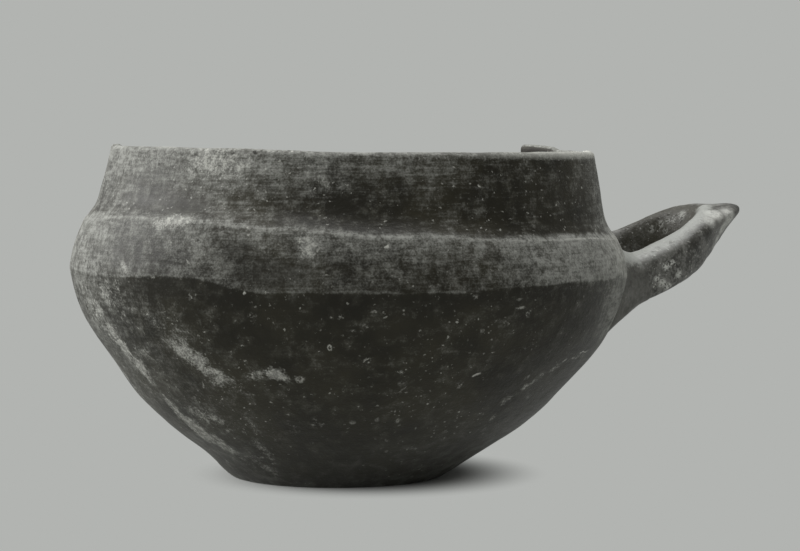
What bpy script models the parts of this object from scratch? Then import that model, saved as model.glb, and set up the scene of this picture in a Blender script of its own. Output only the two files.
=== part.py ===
"""Hand-built earthenware bowl with one loop handle.

The bowl is modelled as the pieces of clay that its potter luted together: a base disc, three wall
courses with oblique joints, and a strap handle whose two tenons go through the wall. Each tenon has
a collar of clay smeared round it outside and a pad of clay pressed over its end inside.

Units are metres. The bowl stands on z = 0 with the centre of its base at the origin, and the handle
points along +X.
"""

import math

import bmesh
import bpy
from mathutils import Matrix, Vector
from mathutils.geometry import interpolate_bezier

# Driving dimensions of the bowl, outside: radius, then height
BASE_RADIUS = 0.0350
CARINATION = (0.0903, 0.0660)
RIDGE = (0.0862, 0.0804)
NECK = (0.0819, 0.0875)
LIP = (0.0784, 0.1040)
RIM_HEIGHT = 0.1060

# Driving dimensions of the bowl, inside
FLOOR = (0.0260, 0.0070)
BELLY = (0.0840, 0.0670)
THROAT = (0.0770, 0.0870)
LIP_WIDTH = 0.0039

# The hand-built bowl tips towards its handle, nothing at the base and this much at the rim, and its
# wall stands a little off the centre of its base
LEAN = math.radians(1.2)
OFF_CENTRE = 0.0018
OFF_CENTRE_ABOVE = 0.025

# Seams between the clay pieces: height outside, height inside
BASE_SEAM = (0.0040, 0.0090)
CARINATION_SEAM = (0.0660, 0.0690)
RIDGE_SEAM = (0.0804, 0.0770)

# Loss along the far rim: where it runs, in degrees from the handle, and how deep it is
LOSS_FROM = 25.5
LOSS_TO = 144.0
LOSS_DEPTH_AT_ENDS = 0.0036
LOSS_DEPTH_IN_MIDDLE = 0.0080
LOSS_RAGGEDNESS = 0.0006

# Handle: centre line of one arm from its root to the tip, and the strap's half sizes at both ends.
# Towards the tip the strap leans outwards, and its outer edge draws out into a blunt spur
ARM_ROOT = Vector((0.0800, 0.0270, 0.0646))
ARM_ROOT_PULL = Vector((0.1050, 0.0290, 0.0640))
ARM_TIP_PULL = Vector((0.1212, 0.0140, 0.0800))
ARM_TIP = Vector((0.1212, 0.0, 0.0812))
STRAP_HALF_HEIGHT = (0.0076, 0.0072)
STRAP_WAIST = 0.0008
STRAP_HALF_WIDTH = (0.0050, 0.0048)
STRAP_TIP_LEAN = 0.50
SPUR_REACH = 0.0042
SPUR_RISE = 0.0010
SPUR_SHARE = 0.36
STRAP_SQUARENESS = 0.78
NEAR_ARM_BOW = 0.0004
FAR_ARM_BOW = 0.0031

# Tenons through the wall, and the clay that locks them
TENON_HALF_WIDTH = 0.0034
TENON_HALF_HEIGHT = 0.0050
TENON_IN_ARM = 0.0095
COLLAR_SPREAD = 0.0045
COLLAR_EDGE = 0.0006
COLLAR_REACH = 0.20
PAD_HALF_SIZE = Vector((0.0048, 0.0092, 0.0105))

# Joint gap, how far cutters pass the clay they cut, and the fineness of curves
GAP = 0.0003
CUTTER_REACH = 0.012
SEGMENTS = 72
CURVE_POINTS = 8
LIP_POINTS = 5
STRAP_SIDES = 20
ARM_STATIONS = 16
COLLAR_STATIONS = 8
LOSS_STATIONS = 40

# Clay finishes: colour and roughness
BURNISHED_CLAY = ((0.038, 0.036, 0.031), 0.42)
HANDLE_CLAY = ((0.060, 0.059, 0.053), 0.62)
LUTING_CLAY = ((0.066, 0.064, 0.058), 0.70)


def clear_scene():
    for obj in list(bpy.data.objects):
        bpy.data.objects.remove(obj)


def clay(name, finish):
    """A fired clay surface."""
    colour, roughness = finish
    material = bpy.data.materials.new(name)
    material.use_nodes = True
    shader = material.node_tree.nodes["Principled BSDF"]
    shader.inputs["Base Color"].default_value = (*colour, 1.0)
    shader.inputs["Roughness"].default_value = roughness
    shader.inputs["Metallic"].default_value = 0.0
    return material


def leaned(point):
    """The point after the bowl has tipped towards its handle and settled off the centre of its base."""
    turn = LEAN * max(0.0, point.z) / RIM_HEIGHT
    share = min(1.0, max(0.0, point.z / OFF_CENTRE_ABOVE))
    aside = Vector((OFF_CENTRE * share**2 * (3 - 2 * share), 0.0, 0.0))
    return Matrix.Rotation(turn, 3, "Y") @ point + aside


def finish(mesh_in_work, name, material=None):
    """Leans the mesh with the bowl and makes it an object. Without a material it is a cutter."""
    bmesh.ops.remove_doubles(mesh_in_work, verts=mesh_in_work.verts, dist=1e-6)
    bmesh.ops.recalc_face_normals(mesh_in_work, faces=mesh_in_work.faces)
    for vert in mesh_in_work.verts:
        vert.co = leaned(vert.co)
    mesh = bpy.data.meshes.new(name)
    mesh_in_work.to_mesh(mesh)
    mesh_in_work.free()
    obj = bpy.data.objects.new(name, mesh)
    bpy.context.scene.collection.objects.link(obj)
    if material is None:
        obj.hide_render = True
        obj.display_type = "WIRE"
    else:
        mesh.materials.append(material)
        mesh.shade_smooth()
        mesh.set_sharp_from_angle(angle=math.radians(35))
    return obj


def boolean(obj, other, operation):
    modifier = obj.modifiers.new(f"{operation.lower()}_{other.name}", "BOOLEAN")
    modifier.operation = operation
    modifier.object = other
    modifier.solver = "EXACT"


# Outlines, as (radius, height) points from the foot upwards


def sweep_curve(start, start_angle, start_pull, end, end_angle, end_pull):
    """Points of a curve that leaves start and reaches end at the given angles above the outward level."""
    leave = Vector((math.cos(math.radians(start_angle)), math.sin(math.radians(start_angle))))
    arrive = Vector((math.cos(math.radians(end_angle)), math.sin(math.radians(end_angle))))
    first = Vector(start) + leave * start_pull
    second = Vector(end) - arrive * end_pull
    flat = [Vector((*p, 0.0)) for p in (start, first, second, end)]
    return [Vector((p.x, p.y)) for p in interpolate_bezier(*flat, CURVE_POINTS)]


def lip_arc(start_turn, end_turn):
    """Points on the rounded lip, whose turn is 0 outside, 90 on top and 180 inside."""
    half_width = LIP_WIDTH / 2
    centre = Vector((LIP[0] - half_width, LIP[1]))
    rise = RIM_HEIGHT - LIP[1]
    turns = [start_turn + (end_turn - start_turn) * i / LIP_POINTS for i in range(LIP_POINTS + 1)]
    return [
        centre + Vector((half_width * math.cos(math.radians(t)), rise * math.sin(math.radians(t))))
        for t in turns
    ]


def outer_outline():
    lower = sweep_curve((BASE_RADIUS, 0.0), 36, 0.0300, CARINATION, 85, 0.0251)
    shoulder = sweep_curve(CARINATION, 88, 0.0050, RIDGE, 116, 0.0055)
    neck_foot = sweep_curve(RIDGE, 135, 0.0023, NECK, 104, 0.0033)
    return lower + shoulder[1:] + neck_foot[1:] + lip_arc(0, 90)


def inner_outline():
    belly = sweep_curve(FLOOR, 13, 0.0226, BELLY, 81, 0.0253)
    shoulder = sweep_curve(BELLY, 85, 0.0070, THROAT, 113, 0.0076)
    return belly + shoulder[1:] + lip_arc(180, 90)


def between(outline, low, high):
    """The stretch of an outline between two heights, cut at exactly those heights."""

    def at(height):
        above = next((i for i, p in enumerate(outline) if p.y > height), len(outline) - 1)
        a = outline[max(0, above - 1)]
        b = outline[max(1, above)]
        return a.lerp(b, (height - a.y) / (b.y - a.y))

    inside = [p for p in outline if low + GAP < p.y < high - GAP]
    return [at(low), *inside, at(high)]


def turned(section, name, material=None):
    """The solid that a closed section, as (radius, height) points, makes when it turns about Z."""
    work = bmesh.new()
    verts = [work.verts.new((p.x, 0.0, p.y)) for p in section]
    edges = [work.edges.new(pair) for pair in zip(verts, verts[1:] + verts[:1])]
    bmesh.ops.spin(
        work,
        geom=verts + edges,
        cent=(0.0, 0.0, 0.0),
        axis=(0.0, 0.0, 1.0),
        angle=2 * math.pi,
        steps=SEGMENTS,
        use_merge=True,
    )
    return finish(work, name, material)


# The wall and base


def base_disc(material):
    """A round slab. The first wall course sits on its bevelled edge."""
    outside = between(outer_outline(), 0.0, BASE_SEAM[0] - GAP / 2)
    inside = between(inner_outline(), FLOOR[1], BASE_SEAM[1] - GAP / 2)
    axis = [Vector((0.0, FLOOR[1])), Vector((0.0, 0.0))]
    return turned(outside + inside[::-1] + axis, "base_disc", material)


def wall_course(name, low_seam, high_seam, material):
    """A ring of clay between two seams, with oblique joint faces."""
    outside = between(outer_outline(), low_seam[0] + GAP / 2, high_seam[0] - GAP / 2)
    inside = between(inner_outline(), low_seam[1] + GAP / 2, high_seam[1] - GAP / 2)
    return turned(outside + inside[::-1], name, material)


def neck_collar(material):
    """The last ring of clay: a leaning neck with a rounded lip, broken along its far side."""
    outside = between(outer_outline(), RIDGE_SEAM[0] + GAP / 2, RIM_HEIGHT)
    inside = between(inner_outline(), RIDGE_SEAM[1] + GAP / 2, RIM_HEIGHT)
    collar = turned(outside + inside[-2::-1], "neck_collar", material)
    boolean(collar, rim_loss(), "DIFFERENCE")
    return collar


def rim_loss():
    """Cutter for the broken stretch of rim: a bent slab with a ragged underside."""
    inner_radius = THROAT[0] - CUTTER_REACH
    outer_radius = NECK[0] + CUTTER_REACH
    top = RIM_HEIGHT + CUTTER_REACH
    work = bmesh.new()
    rings = []
    for i in range(LOSS_STATIONS + 1):
        share = i / LOSS_STATIONS
        angle = math.radians(LOSS_FROM + (LOSS_TO - LOSS_FROM) * share)
        arch = math.sin(math.pi * share)
        ragged = math.sin(23 * share) + 0.6 * math.sin(57 * share + 1.0)
        depth = LOSS_DEPTH_AT_ENDS + (LOSS_DEPTH_IN_MIDDLE - LOSS_DEPTH_AT_ENDS) * arch
        bottom = RIM_HEIGHT - depth + LOSS_RAGGEDNESS * ragged
        corners = ((inner_radius, bottom), (outer_radius, bottom), (outer_radius, top), (inner_radius, top))
        rings.append([(r * math.cos(angle), r * math.sin(angle), z) for r, z in corners])
    skin(work, rings)
    return finish(work, "rim_loss_cutter")


# The handle


def skin(work, rings):
    """A closed skin over a row of matching rings of points, capped at both ends."""
    loops = [[work.verts.new(p) for p in ring] for ring in rings]
    for first, second in zip(loops, loops[1:]):
        for i in range(len(first)):
            j = (i + 1) % len(first)
            work.faces.new((first[i], first[j], second[j], second[i]))
    work.faces.new(loops[0][::-1])
    work.faces.new(loops[-1])


def arm_point(share):
    """Centre of the strap: share 0 is the near arm's root, 0.5 the tip and 1 the far arm's root."""
    along = 2 * min(share, 1 - share)
    a, b, c, d = ARM_ROOT, ARM_ROOT_PULL, ARM_TIP_PULL, ARM_TIP
    rest = 1 - along
    point = a * rest**3 + b * (3 * rest**2 * along) + c * (3 * rest * along**2) + d * along**3
    bow = NEAR_ARM_BOW if share < 0.5 else FAR_ARM_BOW
    point.z += bow * math.sin(math.pi * along)
    if share < 0.5:
        point.y = -point.y
    return point


def strap_ring(share, growth=0.0):
    """Points round the strap, square to its centre line and grown outwards by growth."""
    step = 1e-4
    ahead = (arm_point(share + step) - arm_point(share - step)).normalized()
    along = 2 * min(share, 1 - share)
    outward = ahead.cross(Vector((0.0, 0.0, 1.0))).normalized()
    up = outward.cross(ahead) + outward * (STRAP_TIP_LEAN * along**2)
    half_height = STRAP_HALF_HEIGHT[0] * (1 - along) + STRAP_HALF_HEIGHT[1] * along + growth
    half_height -= STRAP_WAIST * math.sin(math.pi * along)
    half_width = STRAP_HALF_WIDTH[0] * (1 - along) + STRAP_HALF_WIDTH[1] * along + growth
    nearness = max(0.0, 1 - (1 - along) / SPUR_SHARE)
    spur = nearness**2 * (3 - 2 * nearness)
    ring = []
    for i in range(STRAP_SIDES):
        turn = 2 * math.pi * i / STRAP_SIDES
        across = math.copysign(abs(math.cos(turn)) ** STRAP_SQUARENESS, math.cos(turn))
        upright = math.copysign(abs(math.sin(turn)) ** STRAP_SQUARENESS, math.sin(turn))
        drawn_out = spur * max(0.0, across) * (1 + upright)
        reach = half_width * across + SPUR_REACH * drawn_out
        rise = half_height * upright + SPUR_RISE * drawn_out
        ring.append(arm_point(share) + outward * reach + up * rise)
    return ring


def strap(name, shares, growths, material=None):
    work = bmesh.new()
    skin(work, [strap_ring(share, growth) for share, growth in zip(shares, growths)])
    return finish(work, name, material)


def upright_oval(name, start, end, half_width, half_height):
    """Cutter or tenon blank: an oval bar along X from start to end."""
    work = bmesh.new()
    rings = []
    for x in (start.x, end.x):
        turns = [2 * math.pi * i / STRAP_SIDES for i in range(STRAP_SIDES)]
        rings.append(
            [(x, start.y + half_width * math.cos(t), start.z + half_height * math.sin(t)) for t in turns]
        )
    skin(work, rings)
    return finish(work, name)


def root_of(side):
    """Centre of a tenon: side -1 is the near arm and 1 the far arm."""
    return Vector((ARM_ROOT.x, side * ARM_ROOT.y, ARM_ROOT.z))


def body_blank(growth):
    """Cutter: the bowl's outer form as one solid, grown outwards."""
    outline = [p + Vector((growth, 0.0)) for p in outer_outline()]
    outline[0].y -= growth
    axis = [Vector((0.0, outline[-1].y)), Vector((0.0, outline[0].y))]
    return turned(outline + axis, "body_blank")


def hollow_blank(name, shrink):
    """Cutter: the bowl's inner space as one solid, shrunk away from the wall."""
    outline = [p - Vector((shrink, -shrink)) for p in inner_outline()]
    axis = [Vector((0.0, outline[-1].y)), Vector((0.0, outline[0].y))]
    return turned(outline + axis, name)


def handle_loop(body, hollow, material):
    """One strap bent into a loop, cut to the wall, with a tenon at each end."""
    shares = [i / (2 * ARM_STATIONS) for i in range(2 * ARM_STATIONS + 1)]
    loop = strap("handle_loop", shares, [0.0] * len(shares), material)
    boolean(loop, body, "DIFFERENCE")
    for side, word in ((-1, "near"), (1, "far")):
        start = root_of(side) - Vector((CUTTER_REACH, 0.0, 0.0))
        end = root_of(side) + Vector((TENON_IN_ARM, 0.0, 0.0))
        tenon = upright_oval(f"{word}_tenon", start, end, TENON_HALF_WIDTH, TENON_HALF_HEIGHT)
        boolean(tenon, hollow, "DIFFERENCE")
        boolean(loop, tenon, "UNION")
    return loop


def cut_mortises(courses):
    """Holes for the tenons, through the seam of two wall courses."""
    for side, word in ((-1, "near"), (1, "far")):
        reach = Vector((CUTTER_REACH, 0.0, 0.0))
        cutter = upright_oval(
            f"{word}_mortise",
            root_of(side) - reach,
            root_of(side) + reach,
            TENON_HALF_WIDTH + GAP,
            TENON_HALF_HEIGHT + GAP,
        )
        for course in courses:
            boolean(course, cutter, "DIFFERENCE")


def arm_shares(word, alongs):
    """Places on one arm, given from its root, as shares of the whole loop."""
    return [along / 2 if word == "near" else 1 - along / 2 for along in alongs]


def root_collar(word, body, material):
    """Clay smeared round an arm where it meets the wall, thick at the wall and thin along the arm."""
    steps = [i / COLLAR_STATIONS for i in range(COLLAR_STATIONS + 1)]
    growths = [COLLAR_EDGE + COLLAR_SPREAD * (1 - step) ** 1.8 for step in steps]
    shares = arm_shares(word, [COLLAR_REACH * step for step in steps])
    collar = strap(f"{word}_root_collar", shares, growths, material)
    sleeve_shares = arm_shares(word, [i / ARM_STATIONS for i in range(-1, ARM_STATIONS // 3)])
    sleeve = strap(f"{word}_sleeve", sleeve_shares, [GAP] * len(sleeve_shares))
    boolean(collar, body, "DIFFERENCE")
    boolean(collar, sleeve, "DIFFERENCE")
    return collar


def tenon_pad(side, word, hollow, material):
    """A pad of clay pressed over a tenon's end inside the bowl."""
    root = root_of(side)
    wall_radius = BELLY[0]
    centre = Vector((math.sqrt(wall_radius**2 - root.y**2), root.y, root.z))
    work = bmesh.new()
    bmesh.ops.create_icosphere(work, subdivisions=3, radius=1.0)
    facing = Matrix.Rotation(math.atan2(centre.y, centre.x), 4, "Z")
    place = Matrix.Translation(centre) @ facing @ Matrix.Diagonal((*PAD_HALF_SIZE, 1.0))
    bmesh.ops.transform(work, matrix=place, verts=work.verts)
    pad = finish(work, f"{word}_tenon_pad", material)
    boolean(pad, hollow, "INTERSECT")
    return pad


def main():
    clear_scene()
    burnished = clay("burnished_clay", BURNISHED_CLAY)
    handle_clay = clay("handle_clay", HANDLE_CLAY)
    luting_clay = clay("luting_clay", LUTING_CLAY)
    base_disc(burnished)
    lower = wall_course("lower_wall", BASE_SEAM, CARINATION_SEAM, burnished)
    shoulder = wall_course("shoulder_band", CARINATION_SEAM, RIDGE_SEAM, burnished)
    neck_collar(burnished)
    body = body_blank(GAP)
    handle_loop(body, hollow_blank("hollow_blank", 0.0), handle_clay)
    cut_mortises((lower, shoulder))
    pad_space = hollow_blank("pad_space", GAP)
    for side, word in ((-1, "near"), (1, "far")):
        root_collar(word, body, luting_clay)
        tenon_pad(side, word, pad_space, luting_clay)


main()
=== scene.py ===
"""A hand-built earthenware bowl with one loop handle, dark and burnished, worn and lime-spotted."""

import math
from contextlib import contextmanager
from functools import reduce
from operator import or_
from types import SimpleNamespace

import bpy
import numpy as np
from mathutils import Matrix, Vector


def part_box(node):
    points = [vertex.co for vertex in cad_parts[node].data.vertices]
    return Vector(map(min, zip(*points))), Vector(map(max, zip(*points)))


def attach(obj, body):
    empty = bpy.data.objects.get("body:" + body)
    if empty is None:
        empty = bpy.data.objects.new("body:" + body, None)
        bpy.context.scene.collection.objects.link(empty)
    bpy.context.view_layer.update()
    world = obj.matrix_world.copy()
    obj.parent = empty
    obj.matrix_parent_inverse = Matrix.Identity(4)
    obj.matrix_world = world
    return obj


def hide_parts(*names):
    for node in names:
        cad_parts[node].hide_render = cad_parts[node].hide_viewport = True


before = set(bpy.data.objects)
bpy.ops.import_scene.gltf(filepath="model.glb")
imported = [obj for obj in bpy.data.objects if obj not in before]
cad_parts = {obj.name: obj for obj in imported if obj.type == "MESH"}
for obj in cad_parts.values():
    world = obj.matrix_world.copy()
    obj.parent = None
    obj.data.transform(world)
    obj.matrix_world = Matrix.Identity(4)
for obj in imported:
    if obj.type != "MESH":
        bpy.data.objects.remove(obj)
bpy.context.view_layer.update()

# Outside, in millimetres of the bowl: radius and height
BASE_RADIUS = 35.6
FOOT_BEVEL = ((-0.7, 0.0), (-0.1, 0.25))
CARINATION = (90.3, 66.0)
RIDGE = (86.2, 80.4)
NECK = (81.9, 87.5)
LIP = (78.4, 104.0)
RIM_HEIGHT = 106.0

# Inside: radius and height
FLOOR_DIP = ((20.0, 6.6), (13.0, 6.45), (6.0, 6.4), (0.0, 6.4))
FLOOR = (26.0, 7.0)
BELLY = (84.0, 67.0)
THROAT = (77.0, 87.0)
LIP_WIDTH = 3.9

# One millimetre of the bowl in the frame's metres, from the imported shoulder's half width
SHOULDER_LOW, SHOULDER_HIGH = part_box("shoulder_band")
MM = (SHOULDER_HIGH.y - SHOULDER_LOW.y) / 2 / CARINATION[0]

# The lost stretch of far rim: its ends in degrees round the bowl, and the slab that cuts it away
BREAK_FROM = 25.5
BREAK_TO = 173.0
BREAK_RADIUS = 79.0
BREAK_HALF_WIDTH = 12.0
BREAK_HEIGHT = 16.0
BREAK_DEPTH = 3.6
BREAK_SAG = 4.4
BREAK_END_RISE = 3.7
BREAK_ROUGHNESS = 0.6
BREAK_SLOPE = 0.5

# The clay courses upwards, the heights where they meet outside and inside, and a zone round each joint
COURSES = ("base_disc", "lower_wall", "shoulder_band", "neck_collar")
OUTER_SEAMS = (4.0, CARINATION[1], RIDGE[1])
INNER_SEAMS = (9.0, 69.0, 77.0)
JOINT_ZONES = ((0.0, 20.0), (50.0, 73.4), (73.4, 90.0))

# How the soft clay settled: its lean, its wall moved aside above a height and its foot back below one
LEAN = math.radians(1.2)
OFF_CENTRE = 1.8
OFF_CENTRE_ABOVE = 25.0
FOOT_ASIDE = 1.5
FOOT_BELOW = 14.0
# Flats of the wall: direction in degrees round the bowl, depth, height and reach up and down
WALL_FLATS = ((165, 2.6, 39.0, 11.7), (165, 2.4, 7.0, 6.0), (-15, 1.3, 32.0, 10.0), (-15, 0.75, 8.0, 9.0))
# Waves of the rim: height, number round the bowl and start in degrees
RIM_WAVES = ((0.35, 3, 40), (0.25, 7, 0))
# Lumps that the hands left: size and depth
WALL_LUMPS = ((34, 0.55), (11, 0.14))
STRAP_LUMPS = ((16, 0.5), (5, 0.16))
PAD_LUMPS = ((7, 0.5),)
NO_LUMPS_BELOW = 5.0

# Handle: centre line of one arm, and the strap's half sizes from root to tip
ARM = np.array(((80.0, 27.0, 64.6), (105.0, 29.0, 64.0), (121.2, 14.0, 80.0), (121.2, 0.0, 81.2)))
NEAR_ARM_BOW = 1.6
FAR_ARM_BOW = 2.7
FAR_ARM_WAIST = 0.3
STRAP_HALF_HEIGHT = 7.6
STRAP_HALF_WIDTH = (5.0, 4.8)
STRAP_START = 0.025
STRAP_TIP_LEAN = 0.50
STRAP_SQUARENESS = 0.62
STRAP_TOP_SLOPE = 0.40
SPUR_REACH = 4.2
SPUR_RISE = 1.0
SPUR_SHARE = 0.36
TOE_REACH = 2.6
TOE_SHARE = 0.45
ROOT_DEPTH = 0.9
ROOT_SHARE = 0.28
TENON_HALF_SIZE = (3.4, 5.0)
TENON_STATIONS = (79.6, 80.2, 84.0)
PAD_HALF_SIZE = (4.8, 9.2, 10.5)

# Collar: shares of the arm where its parts lie, and how far they stand off the strap, at the top and below
COLLAR_TOE = (0.14, 0.165)
COLLAR_BEND = 0.10
COLLAR_BEND_OFF = (0.4, 0.9)
COLLAR_SPREAD = 0.06
COLLAR_SPREAD_OFF = (3.6, 11.0)
COLLAR_HOLLOW = 1.5
COLLAR_SUNK = 0.5
# Its hidden back: depth in the wall, then share of the arm and depth in the strap
COLLAR_BACK_SUNK = 2.6
COLLAR_BACK = ((0.06, -1.5), (0.17, -0.8))

# The side of the bowl that faces the camera, and the axis of its settled wall
UP = (0.0, 0.0, 1.0)
FRONT_TURN = math.radians(-15.0)
FRONT = (math.sin(FRONT_TURN), -math.cos(FRONT_TURN), 0.0)
FRONT_RIGHT = (math.cos(FRONT_TURN), math.sin(FRONT_TURN), 0.0)
AXIS = (2.2, 0.0, 0.0)
UNROLL_RADIUS = 80.0

# Camera: place in metres aside, towards the front and up, its pitch down and its lens
CAMERA_EYE = (0.0191, 0.845, 0.120)
CAMERA_PITCH = math.radians(3.75)
CAMERA_SENSOR = 36.0
CAMERA_LENS = 117.0

# Clay colours
# The clay's black, also laid on as painted shade under the carination and on the lower right
CLAY_BLACK_AND_SHADE = (0.012, 0.0105, 0.006)
# The clay's brown, also the painted shade inside the handle's loop
CLAY_BROWN_AND_SHADE = (0.028, 0.025, 0.0145)
# The clay's grey, also the painted light from the floor near the foot
CLAY_GREY_AND_FLOOR_LIGHT = (0.044, 0.0415, 0.030)
CLAY_INSIDE_DARK = (0.022, 0.020, 0.016)
CLAY_INSIDE_PALE = (0.070, 0.066, 0.055)
# Rubbed clay, also used for painted highlights and sheen
RUB_AND_SHEEN_DARK = (0.080, 0.079, 0.069)
RUB_AND_SHEEN_PALE = (0.275, 0.278, 0.256)
LIME_SMEAR = (0.20, 0.20, 0.185)
# Lime white, also used for painted highlights and sheen
LIME_AND_HIGHLIGHT_WHITE = (0.46, 0.46, 0.42)
BROKEN_DARK = (0.050, 0.044, 0.035)
BROKEN_PALE = (0.140, 0.133, 0.117)
HANDLE_DARK = (0.036, 0.035, 0.029)
HANDLE_GREY = (0.086, 0.085, 0.075)
HANDLE_PALE = (0.160, 0.158, 0.145)
# Pale of worn tops, also their painted highlight
PALE_TOP_WEAR_AND_HIGHLIGHT = (0.29, 0.298, 0.276)
LIME_CRUST = (0.52, 0.525, 0.49)
LUTE_DARK = (0.060, 0.059, 0.051)
LUTE_PALE = (0.155, 0.153, 0.140)
PAPER = (0.47, 0.475, 0.462)
BACKDROP = (0.445, 0.456, 0.440)
WORLD_LEFT = (0.44, 0.445, 0.435)
WORLD_RIGHT = (0.23, 0.233, 0.227)

# The floor: its radius in metres, its shadow's middle, and how far off that fades into the even tone
STAGE_RADIUS = 4.0
SHADOW_MIDDLE = (8.0, -2.0, 0.0)
SHADOW_FADE = (28.5, 60.0)

# Lamps: name, place in metres aside, towards the front and up, size and power, and the height they aim at
LAMPS = (
    ("left_soft_box", (-1.05, -0.2, 0.6), 0.9, 13.0),
    ("top_soft_box", (0.0, -0.1, 1.2), 1.2, 16.0),
)
LAMP_AIM = 0.06

# Marks on the unrolled wall: along, height, half length, half width, tilt and strength
PALE_SMEARS = (
    (-46.8, 44.2, 6.0, 2.2, -40, 0.95), (-51.5, 49.5, 6.0, 3.6, -42, 0.45),
    (-40.5, 38.2, 3.0, 2.0, -38, 0.85), (-34.2, 36.9, 4.6, 2.0, -45, 0.45),
    (-56.0, 54.6, 5.0, 3.0, -60, 0.35), (-71.2, 22.0, 4.8, 2.3, -75, 1.0), (-66.0, 17.6, 5.4, 2.6, -42, 1.0),
    (-60.0, 14.8, 3.2, 2.3, -42, 0.9), (-57.0, 24.6, 6.0, 2.6, -14, 0.6), (-49.5, 22.4, 3.4, 2.0, -40, 0.5),
    (-55.0, 9.9, 3.2, 2.2, -19, 0.5), (-45.0, 8.0, 5.0, 2.6, -19, 0.5), (-26.6, 40.2, 2.2, 1.2, 10, 0.55),
    (-19.8, 40.4, 2.4, 1.6, 4, 1.0), (-94.0, 60.5, 4.4, 3.4, -34, 0.4), (-87.0, 56.4, 3.6, 3.4, -42, 0.6),
    (-83.6, 49.0, 3.4, 2.8, -61, 0.85), (-79.6, 45.0, 3.0, 3.0, -56, 0.85),
    (-76.8, 38.6, 3.6, 2.8, -72, 0.8), (-71.0, 56.1, 2.5, 2.0, -58, 0.5), (-68.5, 46.0, 4.0, 1.8, -30, 0.4),
    # The thin smear at -52 along and 85 high is a painted highlight on the ridge
    (-52.0, 85.0, 6.0, 1.2, 0, 0.9), (-36.8, 23.0, 3.0, 1.5, 90, 0.5), (-38.5, 13.5, 4.0, 1.8, 100, 0.5),
    (-20.0, 22.8, 2.0, 1.2, -40, 0.55), (-9.6, 24.3, 1.6, 1.2, 0, 0.55), (-76.0, 62.5, 8.0, 3.4, 0, 0.5),
    (-103.0, 31.0, 5.0, 4.0, -60, 0.6), (-108.0, 38.0, 5.0, 4.0, -60, 0.5), (-41.0, 103.0, 9.0, 3.5, 0, 0.8),
    (64.0, 101.5, 7.0, 2.5, 0, 0.3), (-6.0, 100.0, 8.0, 4.0, 0, 0.3), (-47.0, 80.5, 8.0, 2.4, 0, 0.3),
    (29.7, 15.0, 5.0, 1.0, 19, 0.35), (42.2, 19.0, 3.4, 1.5, 25, 0.35), (3.3, 53.5, 2.6, 1.0, 40, 0.35),
    (-8.8, 78.5, 2.6, 2.0, -60, 0.9), (-46.1, 105.2, 16.9, 2.0, -1, 0.4), (-32.3, 99.3, 4.5, 2.3, -101, 0.3),
    (-10.0, 82.0, 3.4, 0.5, -8, 0.4), (61.0, 22.5, 4.4, 0.9, 72, 0.4), (62.4, 29.8, 3.6, 1.0, 50, 0.58),
    (68.6, 34.4, 4.6, 1.0, 26, 0.58), (76.4, 38.0, 4.4, 0.9, 26, 0.52), (88.0, 41.2, 7.0, 0.8, 10, 0.45),
)
WHITE_FLECKS = (
    (51.0, 59.5, 1.9, 0.5, 6, 0.6), (50.2, 62.2, 1.5, 0.5, 3, 0.3), (-66.8, 70.8, 2.8, 1.1, -38, 0.65),
    (42.2, 39.4, 1.7, 0.4, 14, 1.0), (81.5, 41.0, 1.4, 0.3, 29, 0.9), (92.7, 42.5, 4.3, 0.3, 1, 1.0),
    (12.0, 78.6, 0.7, 0.6, 86, 1.0), (-26.0, 65.0, 0.8, 0.45, 52, 0.9), (3.4, 24.7, 1.5, 0.8, 7, 0.4),
    (11.8, 25.5, 0.8, 0.8, 0, 0.4), (17.8, 28.4, 0.5, 0.5, 0, 0.5), (17.4, 18.3, 1.1, 0.5, -40, 0.4),
    (19.3, 13.9, 1.0, 0.7, -2, 0.3), (1.5, 62.1, 0.5, 0.5, 0, 0.6), (8.5, 59.7, 1.1, 0.4, 0, 0.5),
    (16.3, 59.9, 0.4, 0.4, 0, 0.5), (11.4, 58.0, 0.8, 0.3, 10, 0.5), (39.7, 53.4, 0.8, 0.8, -3, 0.3),
    (27.9, 21.9, 0.5, 0.5, 0, 0.4), (-47.9, 35.4, 1.4, 0.4, -111, 0.5), (18.6, 35.6, 1.9, 0.3, 51, 0.3),
    (-43.5, 73.7, 1.6, 0.3, -54, 0.4),
)
ROOT_SMEARS = ((112.0, 58.0, 16.0, 22.0, 90, 1.0), (174.0, 64.0, 14.0, 11.0, 90, 0.8))
RING_PITS = (
    (-3.2, 48.7, 0.75, 0.75, 0, 1.0), (-12.9, 38.8, 1.3, 1.2, 0, 0.9), (19.4, 24.7, 0.8, 0.8, 0, 0.7),
)
DARK_PITS = ((-7.6, 86.9, 0.9, 0.8, -18, 1.0), (-27.5, 105.8, 0.7, 0.7, 0, 1.0))
DARK_STAINS = (
    (43.6, 74.2, 1.5, 1.3, -77, 0.5), (-18.0, 70.6, 14.0, 5.6, 0, 0.9), (-28.0, 77.0, 6.0, 5.0, 0, 0.7),
    (-51.0, 89.3, 12.0, 3.0, 0, 0.9), (-53.7, 64.6, 13.0, 2.6, 1, 0.7), (-52.1, 39.0, 3.5, 1.6, -37, 0.5),
    (-108.0, 64.0, 4.0, 1.2, 84, 0.8), (-102.0, 60.0, 3.5, 0.9, 70, 0.7), (-96.0, 57.0, 3.0, 0.9, 60, 0.6),
)

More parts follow.
